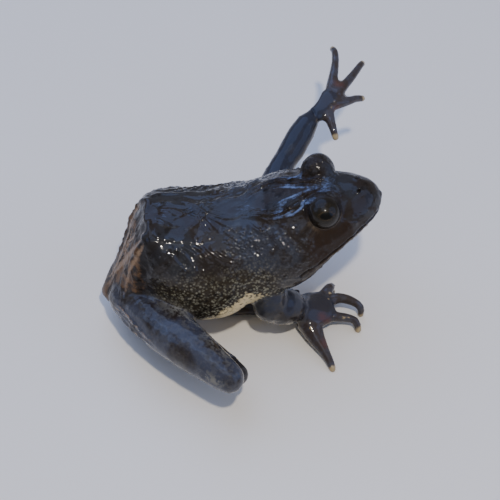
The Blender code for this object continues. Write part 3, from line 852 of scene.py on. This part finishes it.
def paintRegions():
    points, edges, normals = readSkin()
    kinds = kindsOf(points)
    even = np.full(len(points), 0.5)
    forward, _, level = bodyFrame(points)

    def softRegion(words, rounds):
        return relax(np.isin(kinds, words).astype(float)[:, None], edges, even, rounds)[:, 0]

    def reach(name, values):
        low, high, *strength = regionPlan[name]
        return fade(values, low, high) * (strength[0] if strength else 1.0)

    trunk = softRegion(bodyWords, 10)
    limbs = softRegion(("upper_arm", "thigh", "forearm", "shank"), 10)
    digits = softRegion(("finger", "foot"), 16)
    down = -normals[:, 2]
    edgeLevel, slope, middle = regionPlan["bellyTop"]
    bellyTop = edgeLevel - slope * np.abs(middle - forward)
    belly = trunk * np.maximum(reach("bellyEdge", bellyTop - level), reach("bellyDown", down))
    headShare = softRegion(("head", "lower_jaw"), 12)
    headTop = headShare * reach("headTop", level)
    fingers = np.maximum(digits, softRegion(("hand",), 16))
    regions = {
        "belly": np.maximum(belly, limbs * reach("limbDown", down)),
        "flank": (trunk * reach("flankBelow", -level) * reach("flankAhead", forward)
                  * (1 - reach("flankEnd", forward))),
        "rump": trunk * reach("rump", -forward),
        "cheek": (headShare * reach("cheekAhead", forward) * reach("cheekBelow", -level)
                  * (1 - reach("cheekEnd", forward))),
        "neck": (trunk * reach("neckAhead", forward) * (1 - reach("neckEnd", forward))
                 * reach("neckBelow", -level) * (1 - reach("neckLowEnd", -level))),
        # wart tops, where the painted highlight lies
        "warts": wartRise(points, allWarts) / wartTop,
        # the mouth's groove, where the painted shade lies
        "mouth": crease(points, mouth, 0.20, 1.0, 0.15),
        "lip": crease(points, mouth - np.array(upWay) * 0.5, 0.28, 1.0, 0.2),
        "digits": digits,
        "hands": softRegion(("hand", "tarsus"), 16),
        # pale finger tips and pads, with one painted glint
        "tips": np.maximum(fingerTips(points) * digits, spotsOn(points, "padsAndGlint") * fingers),
        "webs": spotsOn(points, "webs") * fingers,
        "thighs": softRegion(("thigh",), 10),
        # upward faces of the arms and hands, where the painted blue reflection lies
        "arms": softRegion(("forearm", "upper_arm", "hand"), 10) * reach("armSheenUp", normals[:, 2]),
        "headTop": headTop,
        "lidEdge": lidEdge(points),
        "crown": headTop * (1 - reach("crownEnd", forward)),
        **lineRegions(points),
    }
    for name, values in regions.items():
        layer = skin.data.attributes.new(name, "FLOAT", "POINT")
        layer.data.foreach_set("value", np.clip(values, 0, 1).astype(np.float32))


paintRegions()
print("regions marked")

# materials


class Signal:  # an output of a node, on which maths can be written as in Python
    def __init__(self, finish, socket):
        self.finish = finish
        self.socket = socket

    def maths(self, operation, first, second):
        return self.finish.node("ShaderNodeMath", {"operation": operation}, {0: first, 1: second})

    def __add__(self, other):
        return self.maths("ADD", self, other)

    def __radd__(self, other):
        return self.maths("ADD", other, self)

    def __sub__(self, other):
        return self.maths("SUBTRACT", self, other)

    def __rsub__(self, other):
        return self.maths("SUBTRACT", other, self)

    def __mul__(self, other):
        return self.maths("MULTIPLY", self, other)

    def __rmul__(self, other):
        return self.maths("MULTIPLY", other, self)


class Finish:  # a material and the nodes that feed its shader
    def __init__(self, name):
        self.material = bpy.data.materials.new(name)
        self.material.use_nodes = True
        self.tree = self.material.node_tree
        self.shader = self.tree.nodes["Principled BSDF"]

    def plug(self, socket, value):
        if isinstance(value, Signal):
            self.tree.links.new(value.socket, socket)
        else:
            socket.default_value = value

    def node(self, kind, settings=None, inputs=None, output=0):
        made = self.tree.nodes.new(kind)
        for key, value in (settings or {}).items():
            setattr(made, key, value)
        for key, value in (inputs or {}).items():
            self.plug(made.inputs[key], value)
        return Signal(self, made.outputs[output])

    def places(self):
        return self.node("ShaderNodeTexCoord", output=3)

    def region(self, name):
        return self.node("ShaderNodeAttribute", {"attribute_name": name}, output=2)

    def lumps(self, places, size, detail=3.0, roughness=0.55, distortion=0.0):  # size in mm
        return self.node("ShaderNodeTexNoise", None, {"Vector": places, "Scale": 1 / (size * millimetre),
                                                      "Detail": detail, "Roughness": roughness,
                                                      "Distortion": distortion})

    def cells(self, places, size):
        return self.node("ShaderNodeTexVoronoi", {"feature": "F1"},
                         {"Vector": places, "Scale": 1 / (size * millimetre)})

    def between(self, value, low, high, start=0.0, end=1.0):
        return self.node("ShaderNodeMapRange", {"interpolation_type": "SMOOTHSTEP"},
                         {0: value, 1: low, 2: high, 3: start, 4: end})

    def blend(self, first, second, share):
        return self.node("ShaderNodeMix", {"data_type": "RGBA"}, {0: share, 6: first, 7: second}, output=2)

    def bump(self, height, deep):
        return self.node("ShaderNodeBump", None,
                         {"Strength": 1.0, "Distance": deep * millimetre, "Height": height})

    def set(self, **values):
        for key, value in values.items():
            self.plug(self.shader.inputs[key], value)


def colour(red, green, blue):
    return (red, green, blue, 1.0)


skinTints = {  # red, green, blue, where its pattern starts and is full, strength
    "back": (0.020, 0.014, 0.011),
    "backSlate": (0.024, 0.024, 0.027, 0.42, 0.62, 1.0),
    "blotch": (0.008, 0.006, 0.005, 0.54, 0.66, 0.8),
    "flank": (0.033, 0.025, 0.015, 0.45, 0.95, 0.85),
    "speck": (0.30, 0.29, 0.20, 0.80, 1.30, 0.85),
    "neck": (0.034, 0.038, 0.052, 0.35, 1.0, 0.75),
    "cheek": (0.026, 0.015, 0.009, 0.3, 0.95, 0.8),
    "sand": (0.185, 0.172, 0.132, 0.42, 0.62, 0.8),
    "murk": (0.008, 0.006, 0.005, 0.50, 0.60, 0.7),
    # painted sheen: a bluish tone in patches over the thighs
    "thigh": (0.047, 0.051, 0.072, 0.35, 0.6, 0.8),
    # painted reflection, blue slate on the arms' upward faces
    "arm": (0.022, 0.026, 0.042, 0.35, 0.9, 0.8),
    # painted shade, near black in the hip groove
    "hollowShade": (0.008, 0.006, 0.005, 0.0, 1.0, 0.8),
    "mottle": (0.19, 0.18, 0.15, 0.53, 0.68, 0.8),
    "rump": (0.175, 0.095, 0.045, 0.7, 1.3, 0.7),
    # painted highlight, lighter bluish grey on the wart tops
    "wartHighlight": (0.060, 0.062, 0.070, 0.3, 0.6, 0.6),
    # painted reflection, pale blue along the ridges
    "crestSheen": (0.130, 0.185, 0.330, 0.25, 0.9, 0.9),
    "fold": (0.27, 0.175, 0.105, 0.25, 0.8, 0.9),
    "belly": (0.70, 0.56, 0.30, 0.60, 0.95, 1.0),
    "palm": (0.040, 0.036, 0.042, 0.0, 1.0, 0.7),
    "digitSlate": (0.062, 0.062, 0.078, 0.45, 0.62, 0.8),
    "digit": (0.046, 0.034, 0.031, 0.3, 0.8, 0.85),
    "web": (0.120, 0.036, 0.022, 0.2, 1.1, 0.5),
    "tip": (0.42, 0.32, 0.17, 0.35, 0.8, 0.85),
    "lip": (0.120, 0.090, 0.062, 0.3, 0.9, 0.7),
    # painted shade, near black in the mouth's groove
    "slitShade": (0.003, 0.002, 0.002, 0.0, 1.0, 0.9),
    "lid": (0.20, 0.15, 0.10, 0.0, 1.0, 0.85),
}
skinSheen = {"smooth": 0.48, "granular": 0.62, "gloss": 0.06, "filmRoughness": 0.08,
             "waterIndex": 1.36, "deep": 0.08}
filmLoss = {"granular": 0.5, "cheek": 0.6, "rump": 0.65, "hollowShade": 0.6, "headTop": 0.4, "arm": 0.3}


def tintOf(name):
    return colour(*skinTints[name][:3])


def skinFinish():
    made = Finish("wetSkin")
    places = made.places()
    wide = made.lumps(places, 6.0, 3.0, 0.6, 0.4)
    middle = made.lumps(places, 1.6, 4.0, 0.6, 0.3)
    fine = made.lumps(places, 0.45, 3.0, 0.6)
    dark = made.lumps(places, 0.9, 3.0, 0.65, 0.5)
    grain = made.cells(places, 0.42)
    pebble = made.cells(places, 0.9)
    words = ("belly", "flank", "rump", "thighs", "digits", "hands", "hollowShade", "crown")
    belly, flank, rump, thighs, digits, hands, hollowShade, crown = [made.region(word) for word in words]
    ragged = (wide - 0.5) * 1.6 + (middle - 0.5) * 2.0

    mottled = thighs * 0.12 + made.region("pale") * 0.9
    edge = belly + (fine - 0.5) * 1.1 + (middle - 0.5) * 0.8 + (grain - 0.4) * -0.25
    slate = made.between(middle, *skinTints["digitSlate"][3:5]) * skinTints["digitSlate"][5]
    digitShade = made.blend(tintOf("digit"), tintOf("digitSlate"), slate)
    layers = [  # tint, the pattern that it follows, and where it lies
        ("backSlate", wide, 1.0),
        ("blotch", middle, 1.0),
        ("flank", flank * 0.9 + middle * 0.5, 1.0),
        ("speck", belly * 2.3 + flank * 0.6 + fine * 0.9, made.between(grain, 0.58, 0.18)),
        ("neck", made.region("neck") + ragged, 1.0),
        ("cheek", made.region("cheek") + ragged, 1.0),
        ("sand", middle * 0.6 + wide * 0.5, made.between(grain, 0.6, 0.2) * flank),
        ("murk", dark, flank),
        # painted blue sheen on the thighs
        ("thigh", wide, thighs),
        # painted blue reflection on the arms' upward faces
        ("arm", made.region("arms") + ragged * 0.6, 1.0),
        # painted shade in the hip groove
        ("hollowShade", None, hollowShade),
        ("mottle", middle * 0.6 + fine * 0.6, mottled),
        ("rump", rump + (middle - 0.5) * 2.4, 1.0),
        # painted highlight on the wart tops
        ("wartHighlight", fine, made.region("warts")),
        # painted pale blue reflection along the ridges
        ("crestSheen", made.region("sheenCrests") + (fine - 0.5) * 0.7, 1.0),
        ("fold", made.region("tan") + (fine - 0.5) * 0.9, 1.0),
        ("belly", edge, 1.0),
        ("palm", None, hands),
        ("digit", digits + (middle - 0.5) * 0.6, 1.0),
        ("web", made.region("webs") + (fine - 0.5) * 0.5, 1.0),
        # pale tips and pads, one of them a painted glint
        ("tip", made.region("tips") + (fine - 0.5) * 0.5, 1.0),
        ("lip", made.region("lip") + (fine - 0.5), 1.0),
        # painted shade in the mouth's groove
        ("slitShade", None, made.region("mouth")),
        ("lid", None, made.region("lidEdge")),
    ]
    shade = tintOf("back")
    masks = {}
    for name, pattern, where in layers:
        low, high, strength = skinTints[name][3:]
        masks[name] = where if pattern is None else made.between(pattern, low, high) * where
        tint = digitShade if name == "digit" else tintOf(name)
        shade = made.blend(shade, tint, masks[name] * strength)

    # relief and the wet film
    granular = made.between(flank + crown * 0.7 + belly + (middle - 0.5) * 0.8, 0.3, 0.9)
    height = (1.0 - grain) * (0.25 + granular * 0.9) + fine * 0.5 + (1.0 - pebble) * (0.2 + granular * 0.5)
    rough = made.between(granular + (fine - 0.5) * 0.5, 0.0, 1.0, skinSheen["smooth"], skinSheen["granular"])
    film = 1.0
    for name, mask in (("granular", granular), ("cheek", masks["cheek"]), ("rump", rump),
                       ("hollowShade", hollowShade), ("headTop", made.region("headTop")), ("arm", masks["arm"])):
        film = film * (1.0 - mask * filmLoss[name])
    made.set(**{"Base Color": shade, "Roughness": rough, "Specular IOR Level": skinSheen["gloss"],
                "Coat Weight": film, "Coat Roughness": skinSheen["filmRoughness"],
                "Coat IOR": skinSheen["waterIndex"], "Normal": made.bump(height, skinSheen["deep"])})
    return made.material


eyeShade = {
    "pupil": colour(0.002, 0.002, 0.002), "rim": colour(0.010, 0.007, 0.005),
    "dark": colour(0.012, 0.009, 0.005), "fleck": colour(0.034, 0.023, 0.012),
    "ring": colour(0.10, 0.06, 0.024),
    "flatten": (0.72, 1.25, 1.0),  # makes the pupil a lying oval
    "pupilEdge": (0.115, 0.135),  # edges are in shares of the eyeball's breadth
    "ringIn": (0.13, 0.155), "ringOut": (0.20, 0.165), "rimEdge": (0.36, 0.40),
    "wetness": 0.8, "waterIndex": 1.30, "wetRoughness": 0.09, "gloss": 0.1, "deep": 0.006,
}


def eyeFinish():
    made = Finish("frogEye")
    cover = made.node("ShaderNodeUVMap", {"uv_map": "UVMap"})
    middle = made.node("ShaderNodeVectorMath", {"operation": "SUBTRACT"}, {0: cover, 1: (0.5, 0.5, 0.0)})
    oval = made.node("ShaderNodeVectorMath", {"operation": "MULTIPLY"}, {0: middle, 1: eyeShade["flatten"]})
    fromPupil = made.node("ShaderNodeVectorMath", {"operation": "LENGTH"}, {0: oval}, output=1)
    fromMiddle = made.node("ShaderNodeVectorMath", {"operation": "LENGTH"}, {0: middle}, output=1)
    fleck = made.lumps(made.places(), 0.22, 4.0, 0.7, 0.6)
    iris = made.blend(eyeShade["dark"], eyeShade["fleck"], made.between(fleck, 0.5, 0.75))
    ring = made.between(fromPupil, *eyeShade["ringIn"]) * made.between(fromPupil, *eyeShade["ringOut"])
    iris = made.blend(iris, eyeShade["ring"], ring * made.between(fleck, 0.4, 0.7) * 0.5)
    shade = made.blend(eyeShade["pupil"], iris, made.between(fromPupil, *eyeShade["pupilEdge"]))
    shade = made.blend(shade, eyeShade["rim"], made.between(fromMiddle, *eyeShade["rimEdge"]))
    made.set(**{"Base Color": shade, "Roughness": made.between(fleck, 0.3, 0.8, 0.35, 0.5),
                "Specular IOR Level": eyeShade["gloss"], "Coat Weight": eyeShade["wetness"],
                "Coat IOR": eyeShade["waterIndex"], "Coat Roughness": eyeShade["wetRoughness"],
                "Normal": made.bump(fleck, eyeShade["deep"])})
    return made.material


floorPlan = {"side": 3.0, "cloud": 60.0, "dark": colour(0.80, 0.76, 0.70), "pale": colour(0.84, 0.80, 0.74),
             "roughness": 0.75}  # side in metres, clouds in mm


def floorFinish():
    made = Finish("paleFloor")
    cloud = made.lumps(made.places(), floorPlan["cloud"])
    shade = made.blend(floorPlan["dark"], floorPlan["pale"], cloud)
    made.set(**{"Base Color": shade, "Roughness": floorPlan["roughness"]})
    return made.material


# eyes

eyeballPlan = {"segments": 96, "rings": 48, "cornea": 0.08, "corneaReach": 62.0}  # mm of bulge, degrees


def makeEye(side):
    clearSelection()
    bpy.ops.mesh.primitive_uv_sphere_add(segments=eyeballPlan["segments"], ring_count=eyeballPlan["rings"],
                                         radius=eyeRadius)
    eye = bpy.context.object
    eye.name = eye.data.name = "eyeball_left" if side > 0 else "eyeball_right"
    outward, forward, upward = eyeWays(side)
    cover = eye.data.uv_layers[0]
    for loop in eye.data.loops:
        place = eye.data.vertices[loop.vertex_index].co
        cover.data[loop.index].uv = (0.5 + 0.5 * place.x / eyeRadius, 0.5 + 0.5 * place.y / eyeRadius)
    for vert in eye.data.vertices:
        turn = math.degrees(math.acos(max(-1.0, min(1.0, vert.co.z / eyeRadius))))
        swell = eyeballPlan["cornea"] * max(0.0, 1 - (turn / eyeballPlan["corneaReach"]) ** 2) ** 2
        local = vert.co * (1 + swell / eyeRadius)
        vert.co = (eyeSpots[side] + forward * local.x + upward * local.y + outward * local.z) * millimetre
    if outward.cross(forward).dot(upward) < 0:
        eye.data.flip_normals()
    pickOnly(eye)
    bpy.ops.object.shade_smooth()
    return eye


eyeLook = eyeFinish()
for side in (1, -1):
    eye = makeEye(side)
    eye.data.materials.append(eyeLook)
    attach(eye, "root")
    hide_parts("eye_left" if side > 0 else "eye_right")
print("eyes made")

skin.data.transform(Matrix.Scale(millimetre, 4))
skin.data.materials.clear()
skin.data.materials.append(skinFinish())
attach(skin, "root")
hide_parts(*fleshNames)
print("skin finished")

# floor and light


def makeFloor():
    clearSelection()
    bpy.ops.mesh.primitive_plane_add(size=floorPlan["side"])
    floor = bpy.context.object
    floor.name = "floor"
    floor.data.materials.append(floorFinish())


lampAim = Vector((0.0, 0.0, 0.012))  # m
roomLight = {"colour": colour(1.0, 0.98, 0.94), "strength": 0.26}
lampPlan = {  # place in mm, size in mm, watts, colour
    "sky": ((-120.0, 190.0, 320.0), 500.0, 1.10, (0.30, 0.47, 1.0)),
    "over": ((-60.0, -75.0, 370.0), 230.0, 0.16, (0.45, 0.60, 0.95)),
    "sun": ((20.0, -150.0, 320.0), 17.0, 0.66, (1.0, 0.92, 0.80)),
    "left": ((-300.0, 20.0, 190.0), 200.0, 0.13, (0.24, 0.44, 1.0)),
    "front": ((255.0, -95.0, 170.0), 320.0, 0.34, (0.30, 0.47, 1.0)),
}


def makeLamp(name, place, size, watts, tint):
    data = bpy.data.lights.new(name, "AREA")
    data.shape = "DISK"
    data.size = size * millimetre
    data.energy = watts
    data.color = tint
    lamp = bpy.data.objects.new(name, data)
    bpy.context.scene.collection.objects.link(lamp)
    lamp.location = Vector(place) * millimetre
    lamp.rotation_euler = (lampAim - lamp.location).to_track_quat("-Z", "Y").to_euler()


def makeSky():
    world = bpy.data.worlds.new("room")
    world.use_nodes = True
    background = world.node_tree.nodes["Background"]
    background.inputs["Color"].default_value = roomLight["colour"]
    background.inputs["Strength"].default_value = roomLight["strength"]
    bpy.context.scene.world = world


makeFloor()
makeSky()
for lampName, (place, size, watts, tint) in lampPlan.items():
    makeLamp(lampName, place, size, watts, tint)
print("floor and lamps set")
